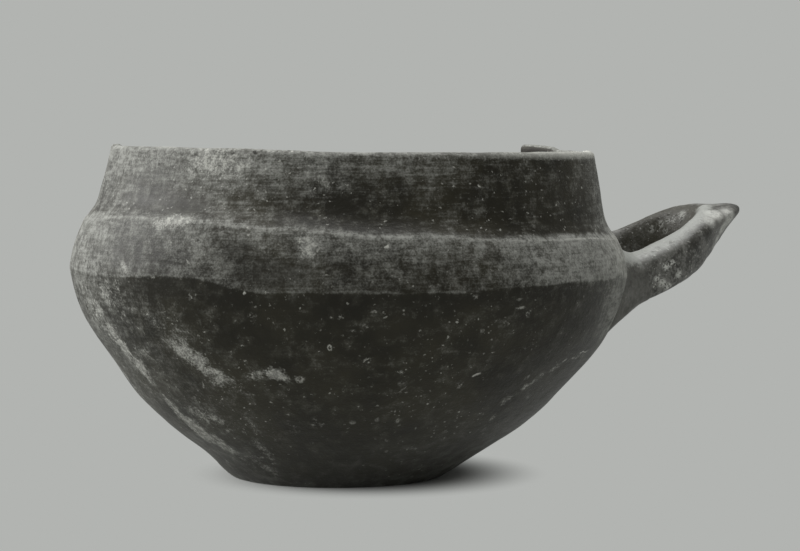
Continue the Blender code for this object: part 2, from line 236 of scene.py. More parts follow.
# Lime on the handle: place, reach and strength
LIME_SPOTS = (
    ((124.0, -14.5, 83.4), 4.4, 0.9), ((130.0, -12.3, 82.6), 4.6, 0.95), ((127.5, -13.1, 79.2), 3.8, 0.95),
    ((125.5, -13.2, 75.4), 2.8, 0.9), ((121.0, -17.6, 81.6), 3.4, 0.8), ((123.3, -15.1, 73.0), 1.8, 0.7),
)
LIME_FLECKS = (
    ((100.9, -30.5, 67.9), 2.2, 1.0), ((103.4, -29.8, 68.7), 1.7, 1.0), ((97.6, -31.0, 63.8), 1.7, 0.9),
    ((99.5, -30.6, 62.4), 2.6, 1.0), ((102.1, -29.3, 61.3), 2.2, 0.9), ((106.3, -28.3, 65.1), 2.0, 0.9),
    ((120.6, 5.6, 82.6), 2.8, 0.5), ((118.6, 8.4, 81.0), 2.4, 0.4), ((117.3, 10.2, 80.8), 2.1, 0.4),
    ((115.3, 12.2, 79.4), 2.1, 0.36), ((112.5, 14.4, 77.5), 1.9, 0.32), ((116.4, 10.0, 77.4), 1.9, 0.3),
)
# Soot on the handle: place, reach and strength
SOOT_SPOTS = (
    ((135.6, -5.0, 86.2), 4.4, 0.75), ((126.1, -8.8, 86.0), 1.5, 0.75), ((128.0, -7.4, 86.3), 1.6, 0.75),
    ((130.4, -5.8, 86.5), 1.8, 0.75), ((114.0, -24.4, 75.6), 5.0, 0.55), ((118.0, -20.5, 77.5), 4.0, 0.55),
)

# Fineness: steps, sides and rows, extra rings under the foot and beside a crisp edge, and smooth shading
TURN_STEPS = 120
STRAP_SIDES = 24
ARM_STATIONS = 22
COLLAR_SIDES = 48
COLLAR_ROWS = 12
BREAK_STEPS = 260
BREAK_ROWS = 22
UNDERSIDE_RINGS = (0.0, 9.0, 18.0, 26.0, 31.5)
CRISP_REACH = 1.2
SMOOTH_ANGLE = math.radians(50)


# Modelling helpers


def take(obj):
    """Selects only this object, and makes it active."""
    bpy.ops.object.select_all(action="DESELECT")
    obj.select_set(True)
    bpy.context.view_layer.objects.active = obj


@contextmanager
def editing(obj, all_of_it=True):
    """Edit mode, with all of the mesh selected, or else only what was chosen."""
    take(obj)
    bpy.ops.object.mode_set(mode="EDIT")
    bpy.ops.mesh.select_mode(type="VERT")
    if all_of_it:
        bpy.ops.mesh.select_all(action="SELECT")
    yield
    bpy.ops.object.mode_set(mode="OBJECT")


def add(name, primitive, **settings):
    """A new primitive under its name, with nothing else selected."""
    bpy.ops.object.select_all(action="DESELECT")
    primitive(**settings)
    obj = bpy.context.object
    obj.name = obj.data.name = name
    return obj


def points(obj):
    flat = np.empty(len(obj.data.vertices) * 3)
    obj.data.vertices.foreach_get("co", flat)
    return flat.reshape(-1, 3)


def put(obj, places):
    obj.data.vertices.foreach_set("co", np.ascontiguousarray(places, dtype=np.float64).ravel())
    obj.data.update()


def choose(obj, wanted):
    """Selects the wanted vertices, given as a row of true and false, ready for edit mode."""
    mesh = obj.data
    mesh.polygons.foreach_set("select", np.zeros(len(mesh.polygons), dtype=bool))
    mesh.edges.foreach_set("select", np.zeros(len(mesh.edges), dtype=bool))
    mesh.vertices.foreach_set("select", np.asarray(wanted, dtype=bool))


def face_outwards(obj):
    with editing(obj):
        bpy.ops.mesh.normals_make_consistent(inside=False)


def apply_modifier(obj, kind, **settings):
    take(obj)
    modifier = obj.modifiers.new(kind.lower(), kind)
    for key, value in settings.items():
        setattr(modifier, key, value)
    bpy.ops.object.modifier_apply(modifier=modifier.name)


def refine(obj, levels):
    apply_modifier(obj, "SUBSURF", levels=levels, render_levels=levels)


def knead(obj, lumps):
    """Pushes the surface in and out in soft lumps, each sort given by its size and depth."""
    for size, depth in lumps:
        clouds = bpy.data.textures.new(f"{obj.name}_lumps", "CLOUDS")
        clouds.noise_scale = size * MM
        clouds.noise_depth = 2
        apply_modifier(obj, "DISPLACE", texture=clouds, texture_coords="LOCAL", strength=2 * depth * MM)


def smooth_step(low, high, value):
    share = np.clip((value - low) / (high - low), 0, 1)
    return share * share * (3 - 2 * share)


def swell(value, middle, reach):
    """1 at the middle, fading to nothing at about twice the reach from it."""
    return np.exp(-(((value - middle) / reach) ** 2))


def curve(start, start_angle, start_pull, end, end_angle, end_pull, count):
    """Points of a curve that leaves start and reaches end at angles above the outward level."""
    a = np.array(start)
    d = np.array(end)
    b = a + start_pull * np.array((math.cos(math.radians(start_angle)), math.sin(math.radians(start_angle))))
    c = d - end_pull * np.array((math.cos(math.radians(end_angle)), math.sin(math.radians(end_angle))))
    t = np.linspace(0, 1, count)[:, None]
    return (1 - t) ** 3 * a + 3 * (1 - t) ** 2 * t * b + 3 * (1 - t) * t**2 * c + t**3 * d


# The bowl's outline and its settling


def outer_outline():
    """Radius and height from the foot to the top of the lip."""
    foot = np.array(FOOT_BEVEL) + (BASE_RADIUS, 0.0)
    lower = curve((BASE_RADIUS, 0.0), 35, 46.0, CARINATION, 80, 24.0, 25)
    shoulder = curve(CARINATION, 96, 5.0, RIDGE, 114, 5.5, 7)
    neck_foot = curve(RIDGE, 135, 2.3, NECK, 104, 3.3, 5)
    neck = np.linspace(NECK, LIP, 6)
    return np.vstack((foot, lower[1:], shoulder[1:], neck_foot[1:], neck[1:], lip(0, 90)[1:]))


def inner_outline():
    """Radius and height from the floor's edge to just inside the top of the lip."""
    belly = curve(FLOOR, 13, 22.6, BELLY, 81, 25.3, 20)
    shoulder = curve(BELLY, 85, 7.0, THROAT, 113, 7.6, 6)
    neck = np.linspace(THROAT, (LIP[0] - LIP_WIDTH, LIP[1]), 5)
    return np.vstack((belly, shoulder[1:], neck[1:], lip(180, 90)[1:-1]))


def lip(start_turn, end_turn):
    turns = np.radians(np.linspace(start_turn, end_turn, 5))
    centre = np.array((LIP[0] - LIP_WIDTH / 2, LIP[1]))
    return centre + np.column_stack((LIP_WIDTH / 2 * np.cos(turns), (RIM_HEIGHT - LIP[1]) * np.sin(turns)))


def with_heights(outline, heights):
    """The outline with an extra point at each of the heights, which takes the place of a near one."""
    too_near = 0.6
    for height in heights:
        radius = np.interp(height, outline[:, 1], outline[:, 0])
        outline = outline[np.abs(outline[:, 1] - height) > too_near]
        at = np.searchsorted(outline[:, 1], height)
        outline = np.insert(outline, at, (radius, height), axis=0)
    return outline


def wall_radius(height):
    """Outside radius of the unsettled bowl at a height."""
    outline = outer_outline()
    return np.interp(height, outline[:, 1], outline[:, 0])


def edge_lift(rise):
    """How far the carination is lifted. rise(low, high) goes from 0 to 1 with the turn from the front."""
    left = 3.2 * rise(-0.28, -0.55) - 0.9 * rise(-0.6, -0.9) - 1.1 * rise(0.65, 0.35)
    right = 1.1 * rise(0.5, 0.95) * rise(1.45, 1.24)
    return left * rise(-1.83, -1.57) + right


def ridge_lift(rise):
    """The same for the ridge under the neck."""
    left = 0.8 * rise(0.58, 0.30) + 1.9 * rise(0.15, -0.25)
    left = left + 1.4 * rise(-0.3, -0.55) - 2.1 * rise(-0.8, -1.4)
    right = 0.5 * rise(0.4, 0.7) + 1.3 * rise(1.0, 1.38)
    return left * rise(-1.83, -1.57) - right * rise(2.18, 1.92)


def rim_lift(around):
    """How far the rim is lifted, by the direction in degrees round the bowl."""
    wave = sum(height * np.sin(np.radians(count * around + start)) for height, count, start in RIM_WAVES)
    high_front = 1.1 * smooth_step(-88, -54, around) * smooth_step(-3, -13, around)
    low_front = 0.45 * swell(around, -98, 12)
    high_left = 0.5 * smooth_step(-143, -155, around) * smooth_step(-179, -170, around)
    kept_end = smooth_step(10, 14, around) * smooth_step(34, 26, around) * (1.0 + 0.065 * (around - 14))
    return wave + high_front - low_front + high_left + kept_end


def settled(places):
    """The places, in millimetres, after the soft clay has leaned, sagged and wandered."""
    x, y, z = places.T
    around = np.degrees(np.arctan2(y, x))
    turn = np.arctan2(places @ FRONT_RIGHT, places @ FRONT)
    out = np.hypot(x, y)

    def rise(low, high):
        return smooth_step(low, high, turn)

    off_floor = smooth_step(40, 60, out)
    by_edge = swell(z, CARINATION[1], 9.0) * off_floor
    by_ridge = swell(z, RIDGE[1] + 1.5, 8.0) * off_floor * smooth_step(100, 93, out)
    z = z + by_edge * edge_lift(rise) + by_ridge * ridge_lift(rise)
    flat = sum(
        depth * swell(z, height, reach) * np.clip(np.cos(np.radians(around - direction)), 0, 1) ** 2
        for direction, depth, height, reach in WALL_FLATS
    )
    drawn_in = 1 - flat * smooth_step(22, 36, out) / np.maximum(out, 1)
    x, y = x * drawn_in, y * drawn_in
    z = z + smooth_step(NECK[1], RIM_HEIGHT, z) * rim_lift(around)
    tilt = LEAN * np.clip(z, 0, None) / RIM_HEIGHT
    aside = OFF_CENTRE * smooth_step(0, OFF_CENTRE_ABOVE, z) - FOOT_ASIDE * smooth_step(FOOT_BELOW, 0, z)
    leaned_x = x * np.cos(tilt) + z * np.sin(tilt) + aside
    leaned_z = z * np.cos(tilt) - x * np.sin(tilt)
    return np.column_stack((leaned_x, y, leaned_z))


def settle(obj):
    """Turns a piece modelled in millimetres of the ideal bowl into its place on the settled one."""
    put(obj, settled(points(obj)) * MM)


# The wall and base


def turned_bowl():
    """The whole clay body as one closed skin, turned from its outline."""
    crisp = [seam + step for seam in OUTER_SEAMS[1:] for step in (-CRISP_REACH, 0.0, CRISP_REACH)]
    outside = with_heights(outer_outline(), (OUTER_SEAMS[0], *crisp))
    inside = with_heights(inner_outline(), INNER_SEAMS)
    underside = [(radius, 0.0) for radius in UNDERSIDE_RINGS]
    outline = np.vstack((underside, outside, inside[::-1], FLOOR_DIP))
    bowl = add("bowl", bpy.ops.mesh.primitive_plane_add, size=1)
    with editing(bowl):
        bpy.ops.mesh.merge(type="CENTER")
        for (r0, z0), (r1, z1) in zip(outline, outline[1:]):
            move = {"value": (r1 - r0, 0.0, z1 - z0)}
            bpy.ops.mesh.extrude_vertices_move(TRANSFORM_OT_translate=move)
        bpy.ops.mesh.select_all(action="SELECT")
        bpy.ops.mesh.spin(steps=TURN_STEPS, angle=2 * math.pi, center=(0, 0, 0), axis=UP)
        bpy.ops.mesh.select_all(action="SELECT")
        bpy.ops.mesh.remove_doubles(threshold=0.02)
    face_outwards(bowl)
    mark_courses(bowl, outline, len(underside) + len(outside))
    refine(bowl, 2)
    settle(bowl)
    smooth = points(bowl)
    knead(bowl, WALL_LUMPS)
    off_foot = smooth_step(0, NO_LUMPS_BELOW * MM, smooth[:, 2:])
    put(bowl, smooth + (points(bowl) - smooth) * off_foot)
    return bowl


def mark_courses(bowl, outline, outside_count):
    """Gives each face the number of the clay course that it belongs to."""
    middles = (outline[:-1] + outline[1:]) / 2
    outer_course = np.searchsorted(OUTER_SEAMS, middles[:, 1])
    inner_course = np.searchsorted(INNER_SEAMS, middles[:, 1])
    course = np.where(np.arange(len(middles)) < outside_count, outer_course, inner_course)
    for _ in COURSES:
        bowl.data.materials.append(None)
    for face in bowl.data.polygons:
        place = np.array((math.hypot(face.center.x, face.center.y), face.center.z))
        face.material_index = int(course[np.argmin(np.sum((middles - place) ** 2, axis=1))])


def split_into_courses(bowl, clay):
    """Cuts the body along its seams, and closes each course with its joint faces."""
    with editing(bowl, all_of_it=False):
        bpy.ops.mesh.separate(type="MATERIAL")
    upwards = sorted(bpy.context.selected_objects, key=lambda obj: points(obj)[:, 2].mean())
    for name, obj in zip(COURSES, upwards):
        obj.name = obj.data.name = f"{name}_fired"
        obj.data.materials.clear()
        obj.data.materials.append(clay)
        close_joints(obj)
    return dict(zip(COURSES, upwards))


def close_joints(obj):
    """Bridges the open rims outside and inside each seam."""
    edge_uses = np.zeros(len(obj.data.edges), dtype=int)
    loop_edges = np.empty(len(obj.data.loops), dtype=int)
    obj.data.loops.foreach_get("edge_index", loop_edges)
    np.add.at(edge_uses, loop_edges, 1)
    ends = np.empty(len(obj.data.edges) * 2, dtype=int)
    obj.data.edges.foreach_get("vertices", ends)
    open_verts = np.zeros(len(obj.data.vertices), dtype=bool)
    open_verts[ends.reshape(-1, 2)[edge_uses == 1].ravel()] = True
    heights = points(obj)[:, 2] / MM
    for low, high in JOINT_ZONES:
        rim = open_verts & (heights > low) & (heights < high)
        if rim.any():
            choose(obj, rim)
            with editing(obj, all_of_it=False):
                bpy.ops.mesh.bridge_edge_loops()


def rim_break():
    """Cutter for the lost stretch of far rim: a bent slab with a rough underside."""
    cutter = add(
        "rim_break", bpy.ops.mesh.primitive_grid_add,
        x_subdivisions=BREAK_STEPS, y_subdivisions=BREAK_ROWS, size=2,
    )
    along, across, _ = points(cutter).T
    share = (along + 1) / 2
    angle = np.radians(BREAK_FROM + (BREAK_TO - BREAK_FROM) * share)
    radius = BREAK_RADIUS + BREAK_HALF_WIDTH * across
    rough = np.sin(23 * share) + 0.6 * np.sin(57 * share + 1.0)
    chips = 0.35 * np.sin(151 * share + 9 * across) + 0.25 * np.sin(263 * share - 14 * across)
    depth = BREAK_DEPTH + BREAK_SAG * np.sin(math.pi * share) - BREAK_END_RISE * smooth_step(0.8, 1, share)
    bottom = RIM_HEIGHT - depth + BREAK_ROUGHNESS * (rough + chips) + BREAK_SLOPE * across
    put(cutter, settled(np.column_stack((radius * np.cos(angle), radius * np.sin(angle), bottom))) * MM)
    with editing(cutter):
        bpy.ops.mesh.extrude_region_move(TRANSFORM_OT_translate={"value": (0, 0, BREAK_HEIGHT * MM)})
    face_outwards(cutter)
    return cutter


def lose_rim(neck):
    """Cuts the lost stretch out of the rim, where the rough core then shows."""
    cutter = rim_break()
    cutter.data.materials.append(broken_clay())
    apply_modifier(
        neck, "BOOLEAN", object=cutter, operation="DIFFERENCE", solver="EXACT", material_mode="TRANSFER"
    )
    bpy.data.objects.remove(cutter)


def finish_piece(obj, node):
    """Smooth shading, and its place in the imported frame."""
    take(obj)
    bpy.ops.object.shade_smooth_by_angle(angle=SMOOTH_ANGLE)
    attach(obj, "root")
    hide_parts(node)


# The handle


def arm_centre(share):
    """Centre of the strap: share 0 is the near arm's root, 0.5 the tip and 1 the far arm's root."""
    along = 2 * min(share, 1 - share)
    rest = 1 - along
    weights = np.array((rest**3, 3 * rest**2 * along, 3 * rest * along**2, along**3))
    place = weights @ ARM
    place[2] += (NEAR_ARM_BOW if share < 0.5 else FAR_ARM_BOW) * math.sin(math.pi * along)
    if share < 0.5:
        place[1] = -place[1]
    return place


def strap_ring(share, sides, growth=0.0):
    """Points round the strap, square to its centre line and grown outwards by growth."""
    step = 1e-4
    ahead = arm_centre(share + step) - arm_centre(share - step)
    ahead /= np.linalg.norm(ahead)
    along = 2 * min(share, 1 - share)
    outward = np.cross(ahead, UP)
    outward /= np.linalg.norm(outward)
    up = np.cross(outward, ahead) + outward * (STRAP_TIP_LEAN * along**2)
    half_height = STRAP_HALF_HEIGHT + growth
    if share >= 0.5:
        half_height -= FAR_ARM_WAIST * math.sin(math.pi * along)
    half_width = STRAP_HALF_WIDTH[0] * (1 - along) + STRAP_HALF_WIDTH[1] * along + growth
    spur = smooth_step(1 - SPUR_SHARE, 1, along)
    turn = np.linspace(0, 2 * math.pi, sides, endpoint=False)
    across = np.sign(np.cos(turn)) * np.abs(np.cos(turn)) ** STRAP_SQUARENESS
    upright = np.sign(np.sin(turn)) * np.abs(np.sin(turn)) ** STRAP_SQUARENESS
    outer = np.clip(across, 0, None)
    lower = np.clip(-upright, 0, None)
    drawn_out = spur * outer * (1 + upright)
    toe = smooth_step(1 - TOE_SHARE, 1, along) * outer * lower
    top_slope = STRAP_TOP_SLOPE * (1 - 0.7 * along**3)
    reach = half_width * across + SPUR_REACH * drawn_out + TOE_REACH * toe
    rise = half_height * upright + SPUR_RISE * drawn_out
    rise -= top_slope * half_width * across * np.clip(upright, 0, None)
    rise -= ROOT_DEPTH * smooth_step(ROOT_SHARE, 0.1, along) * lower
    return arm_centre(share) + reach[:, None] * outward + rise[:, None] * up


def tenon_ring(side, x):
    turn = np.linspace(0, 2 * math.pi, STRAP_SIDES, endpoint=False)
    width, height = TENON_HALF_SIZE
    across = side * ARM[0][1] + width * np.cos(turn) * -side
    return np.column_stack((np.full(STRAP_SIDES, x), across, ARM[0][2] + height * np.sin(turn)))


def swept(name, rings):
    """A closed skin through a row of rings of points."""
    piece = add(name, bpy.ops.mesh.primitive_circle_add, vertices=len(rings[0]), radius=1)
    with editing(piece):
        bpy.ops.mesh.edge_face_add()
        for _ in rings[1:]:
            bpy.ops.mesh.extrude_region_move(TRANSFORM_OT_translate={"value": UP})
    put(piece, np.vstack(rings))
    face_outwards(piece)
    return piece


def handle():
    """The strap bent into a loop, with a tenon at each root."""
    shares = np.linspace(STRAP_START, 1 - STRAP_START, 2 * ARM_STATIONS + 1)
    strap = [strap_ring(share, STRAP_SIDES) for share in shares]
    near_tenon = [tenon_ring(-1, x) for x in TENON_STATIONS]
    far_tenon = [tenon_ring(1, x) for x in TENON_STATIONS[::-1]]
    loop = swept("handle_loop_fired", near_tenon + strap + far_tenon)
    refine(loop, 2)
    settle(loop)
    knead(loop, STRAP_LUMPS)
    return loop


def smeared_collar(word):
    """Clay smeared from the wall onto an arm: a ring with a hollow outer face and a hidden inner one."""
    collar = add(
        f"{word}_root_collar_fired", bpy.ops.mesh.primitive_torus_add,
        major_segments=COLLAR_SIDES, minor_segments=COLLAR_ROWS, major_radius=10, minor_radius=3,
    )

    def ring(along, growth=0.0):
        share = along / 2 if word == "near" else 1 - along / 2
        return strap_ring(share, COLLAR_SIDES, growth)

    def between(above, below, share):
        return above * (1 - share) + below * share

    down = 0.5 - 0.5 * np.sin(np.linspace(0, 2 * math.pi, COLLAR_SIDES, endpoint=False))[:, None]
    low = down**3
    toe = between(*(ring(along) for along in COLLAR_TOE), down)
    bend = between(*(ring(COLLAR_BEND, off) for off in COLLAR_BEND_OFF), low)
    spread = between(*(ring(COLLAR_SPREAD, off) for off in COLLAR_SPREAD_OFF), low)
    spread = sunk_into_wall(spread, COLLAR_SUNK)
    back = [sunk_into_wall(spread, COLLAR_BACK_SUNK), *(ring(along, off) for along, off in COLLAR_BACK)]
    t = np.linspace(0, 1, COLLAR_ROWS - len(back))[:, None, None]
    pull = 2 * (1 - t) * t * (1 + COLLAR_HOLLOW * low)
    face = ((1 - t) ** 2 * toe + pull * bend + t**2 * spread) / ((1 - t) ** 2 + pull + t**2)
    rows = np.concatenate((face, back))
    put(collar, rows.transpose(1, 0, 2).reshape(-1, 3))
    face_outwards(collar)
    refine(collar, 2)
    settle(collar)
    knead(collar, STRAP_LUMPS)
    return collar


def sunk_into_wall(places, depth):
    """The places moved level along X onto the wall, and then under its face by depth."""
    sunk = places.copy()
    radius = wall_radius(sunk[:, 2]) - depth
    sunk[:, 0] = np.sqrt(radius**2 - sunk[:, 1] ** 2)
    return sunk


def tenon_pad(word, side):
    """Clay pressed over a tenon's end inside the bowl."""
    pad = add(
        f"{word}_tenon_pad_fired", bpy.ops.mesh.primitive_uv_sphere_add, segments=32, ring_count=16, radius=1
    )
    y = side * ARM[0][1]
    x = math.sqrt(BELLY[0] ** 2 - y**2)
    around = math.atan2(y, x)
    u, v, w = points(pad).T * np.array(PAD_HALF_SIZE)[:, None]
    put(pad, np.column_stack((
        x + u * math.cos(around) - v * math.sin(around),
        y + u * math.sin(around) + v * math.cos(around),
        ARM[0][2] + w,
    )))
    refine(pad, 1)
    settle(pad)
    knead(pad, PAD_LUMPS)
    return pad


# Finishes


class Tone:
    """What a socket gives. Sums on numbers add Math nodes."""

    def __init__(self, nodes, socket):
        self.nodes = nodes
        self.socket = socket

    def maths(self, operation, *values):
        return self.nodes.node("ShaderNodeMath", {"operation": operation}, dict(enumerate(values)))

    def __add__(self, other):
        return self.maths("ADD", self, other)

    def __sub__(self, other):
        return self.maths("SUBTRACT", self, other)

    def __rsub__(self, other):
        return self.maths("SUBTRACT", other, self)

    def __mul__(self, other):
        return self.maths("MULTIPLY", self, other)

    def __or__(self, other):
        """The stronger of two masks."""
        return self.maths("MAXIMUM", self, other)

    __radd__ = __add__
    __rmul__ = __mul__

    def rise(self, low, high):
        """0 at low and 1 at high, with a soft start and end."""
        ends = {"Value": self, "From Min": low, "From Max": high}
        return self.nodes.node("ShaderNodeMapRange", {"interpolation_type": "SMOOTHSTEP"}, ends)

    def band(self, low, high, soft):
        return self.rise(low - soft, low + soft) * self.rise(high + soft, high - soft)


class Nodes:
    """The nodes of a material or of the world."""

    def __init__(self, tree):
        self.tree = tree

    def node(self, kind, settings=None, sockets=None, output=0):
        """Adds a node: its settings first, then the values or links of its sockets."""
        node = self.tree.nodes.new(kind)
        for key, value in (settings or {}).items():
            setattr(node, key, value)
        for key, value in (sockets or {}).items():
            self.feed(node.inputs[key], value)
        if isinstance(output, tuple):
            return [Tone(self, node.outputs[name]) for name in output]
        return Tone(self, node.outputs[output])

    def feed(self, socket, value):
        if isinstance(value, Tone):
            self.tree.links.new(value.socket, socket)
        else:
            socket.default_value = value

    def vector(self, operation, *values, scale=None, output="Vector"):
        sockets = dict(enumerate(values))
        if scale is not None:
            sockets["Scale"] = scale
        return self.node("ShaderNodeVectorMath", {"operation": operation}, sockets, output)

    def along(self, vector, way):
        """How far a vector goes a way."""
        return self.vector("DOT_PRODUCT", vector, way, output="Value")

    def blend(self, share, first, second):
        """One colour laid over another."""
        colours = [c if isinstance(c, Tone) else (*c, 1.0) for c in (first, second)]
        sockets = {0: share, 6: colours[0], 7: colours[1]}
        return self.node("ShaderNodeMix", {"data_type": "RGBA"}, sockets, 2)


class Finish(Nodes):
    """A surface with patterns in millimetres of the bowl, ending in one shader."""

    def __init__(self, name):
        self.material = bpy.data.materials.new(name)
        self.material.use_nodes = True
        super().__init__(self.material.node_tree)
        self.shader = self.tree.nodes["Principled BSDF"]
        metres = self.node("ShaderNodeTexCoord", output="Object")
        self.place = self.vector("SCALE", metres, scale=1 / MM)
        self.from_axis = self.vector("SUBTRACT", self.place, AXIS)
        across = self.along(self.from_axis, FRONT_RIGHT)
        ahead = self.along(self.from_axis, FRONT)
        height = self.along(self.place, UP)
        aside = self.along(self.place, (LEAN / RIM_HEIGHT, 0, 0))
        self.height = height * (1 + aside)
        self.turn = across.maths("ARCTAN2", across, ahead)
        self.radius = across.maths("SQRT", across * across + ahead * ahead)
        unrolled = {"X": self.turn * UNROLL_RADIUS, "Y": height}
        self.unrolled = self.node("ShaderNodeCombineXYZ", sockets=unrolled)
        nudge = {"Vector": self.place, "Scale": 1.4, "Detail": 2.0}
        nudge = self.node("ShaderNodeTexNoise", {}, nudge, "Color")
        self.uneven = self.vector("MULTIPLY_ADD", nudge, (1.9, 1.9, 1.2), self.place)

    def facing(self, way):
        """How squarely the surface faces a way."""
        return self.along(self.node("ShaderNodeNewGeometry", output="Normal"), way)

    def far_side(self):
        """1 on the far half of the object, from just past its middle."""
        return self.along(self.place, (0, 1, 0)).rise(0, 6)

    def clouds(self, size, detail=3.0, stretch=(1, 1, 1), shift=0.0):
        """Soft cloudy pattern about 0.5, with clouds of about a size."""
        where = self.vector("MULTIPLY_ADD", self.place, stretch, (shift,) * 3)
        sockets = {"Vector": where, "Scale": 1 / size, "Detail": detail, "Roughness": 0.6}
        return self.node("ShaderNodeTexNoise", {}, sockets)

    def grains(self, spacing, radius, share, shift=0.0, soft=0.12):
        """Scattered grains: 1 inside one. Only a share of the places has a grain."""
        where = self.vector("ADD", self.uneven, (shift,) * 3)
        sockets = {"Vector": where, "Scale": 1 / spacing}
        distance, colour = self.node("ShaderNodeTexVoronoi", {}, sockets, ("Distance", "Color"))
        lot, size = self.node("ShaderNodeSeparateColor", {}, {"Color": colour}, ("Red", "Green"))
        edge = size * radius + 0.35 * radius - distance * spacing
        return edge.rise(-soft, soft) * lot.rise(1 - share, 1.02 - share) * (0.4 + 0.6 * size)

    def frayed(self, size, reach):
        """The unrolled wall shifted about, so that marks on it get ragged edges."""
        where = {"Vector": self.place, "Scale": 1 / size, "Detail": 3.0}
        wander = self.node("ShaderNodeTexNoise", {}, where, "Color")
        wander = self.vector("MULTIPLY_ADD", wander, (reach, reach, 0), (-reach / 2, -reach / 2, 0))
        return self.vector("ADD", self.unrolled, wander)

    def mark(self, wall, along, height, half_length, half_width, tilt):
        """Distance from the middle of a long mark on the unrolled wall: 1 at its edge."""
        turn = math.radians(tilt)
        near = self.vector("SUBTRACT", wall, (along, height, 0))
        u = self.along(near, (math.cos(turn) / half_length, math.sin(turn) / half_length, 0))
        v = self.along(near, (-math.sin(turn) / half_width, math.cos(turn) / half_width, 0))
        return u.maths("SQRT", u * u + v * v)

    def marks(self, table, wall, low, high):
        """All marks of a table as one mask, each as strong as its last number says."""
        return reduce(or_, (self.mark(wall, *mark).rise(high, low) * strength for *mark, strength in table))

    def spots(self, table, ragged):
        """Round spots in space as one mask: each has a place, a reach and a strength."""

        def spot(place, reach):
            near = self.vector("DISTANCE", self.place, place, output="Value") + ragged * reach
            return near.rise(reach, reach * 0.4)

        return reduce(or_, (spot(place, reach) * strength for place, reach, strength in table))

    def finish(self, colour, roughness, relief, shine):
        """Feeds the shader. Relief is in millimetres."""
        bump = {"Height": relief, "Distance": MM, "Strength": 1.0}
        self.feed(self.shader.inputs["Base Color"], colour)
        self.feed(self.shader.inputs["Roughness"], roughness)
        self.feed(self.shader.inputs["Normal"], self.node("ShaderNodeBump", {}, bump))
        self.feed(self.shader.inputs["Specular IOR Level"], shine)
        return self.material


# The wall's clay


def wall_zones(clay):
    """Masks of the wall's zones by height, and by the turn from the front. No side reaches the back."""
    rise = clay.turn.rise
    zone = SimpleNamespace()
    zone.wander = clay.clouds(16, 3) * 1.8 - 0.9
    zone.from_edge = clay.height + zone.wander - edge_lift(rise) - CARINATION[1]
    zone.from_ridge = clay.height - ridge_lift(rise) - RIDGE[1]
    zone.above_edge = zone.from_edge.rise(-0.7, 0.8)
    zone.above_ridge = (zone.from_ridge + zone.wander * 0.6).rise(0.2, 2.6)
    zone.shoulder = zone.above_edge * (1 - zone.above_ridge)
    zone.off_back = rise(-3.1, -2.0) * rise(3.1, 2.0)
    zone.left = rise(0.1, -0.5) * zone.off_back
    zone.far_left = rise(-0.85, -1.1) * zone.off_back
    zone.right = rise(0.3, 1.25) * zone.off_back
    # The right limb, where a painted sheen stands for the backdrop's reflection
    zone.right_limb = rise(1.05, 1.45) * zone.off_back * (0.55 + 0.45 * zone.from_ridge.rise(13, 2))
    zone.front = rise(-0.28, -0.08) * rise(0.56, 0.30)
    # The lower wall's right side, away from the lamps, darkened as painted shade
    zone.low_right = rise(0.5, 1.2) * zone.from_edge.rise(-4, -14) * zone.off_back
    return zone


def wall_mottle(clay):
    """Cloudy patterns from broad to fine, level streaks, and the grain that they make together."""
    mottle = SimpleNamespace()
    mottle.broad = clay.clouds(30, 4)
    mottle.patchy = clay.clouds(4.5, 5, shift=40)
    mottle.medium = clay.clouds(1.7, 4, shift=23)
    mottle.fine = clay.clouds(0.6, 3, shift=9)
    mottle.streaks = clay.clouds(9, 4, (1, 1, 11), shift=70)
    coarse = mottle.patchy * 0.38 + mottle.streaks * 0.18
    mottle.grain = mottle.fine * 0.27 + mottle.medium * 0.17 + coarse
    return mottle


def dark_body(clay, zone, mottle):
    body = clay.blend(mottle.broad.rise(0.35, 0.68), CLAY_BLACK_AND_SHADE, CLAY_BROWN_AND_SHADE)
    body = clay.blend(mottle.patchy.rise(0.46, 0.72) * 0.7, body, CLAY_GREY_AND_FLOOR_LIGHT)
    # Painted light: the lower wall greyer towards the foot, as light thrown up from the floor
    floor_light = clay.height.rise(34, 6) * clay.turn.rise(1.0, 0.2) * zone.off_back
    body = clay.blend(floor_light * 0.3, body, CLAY_GREY_AND_FLOOR_LIGHT)
    # Painted shade: darker on the lower right
    return clay.blend(zone.low_right * 0.55, body, CLAY_BLACK_AND_SHADE)


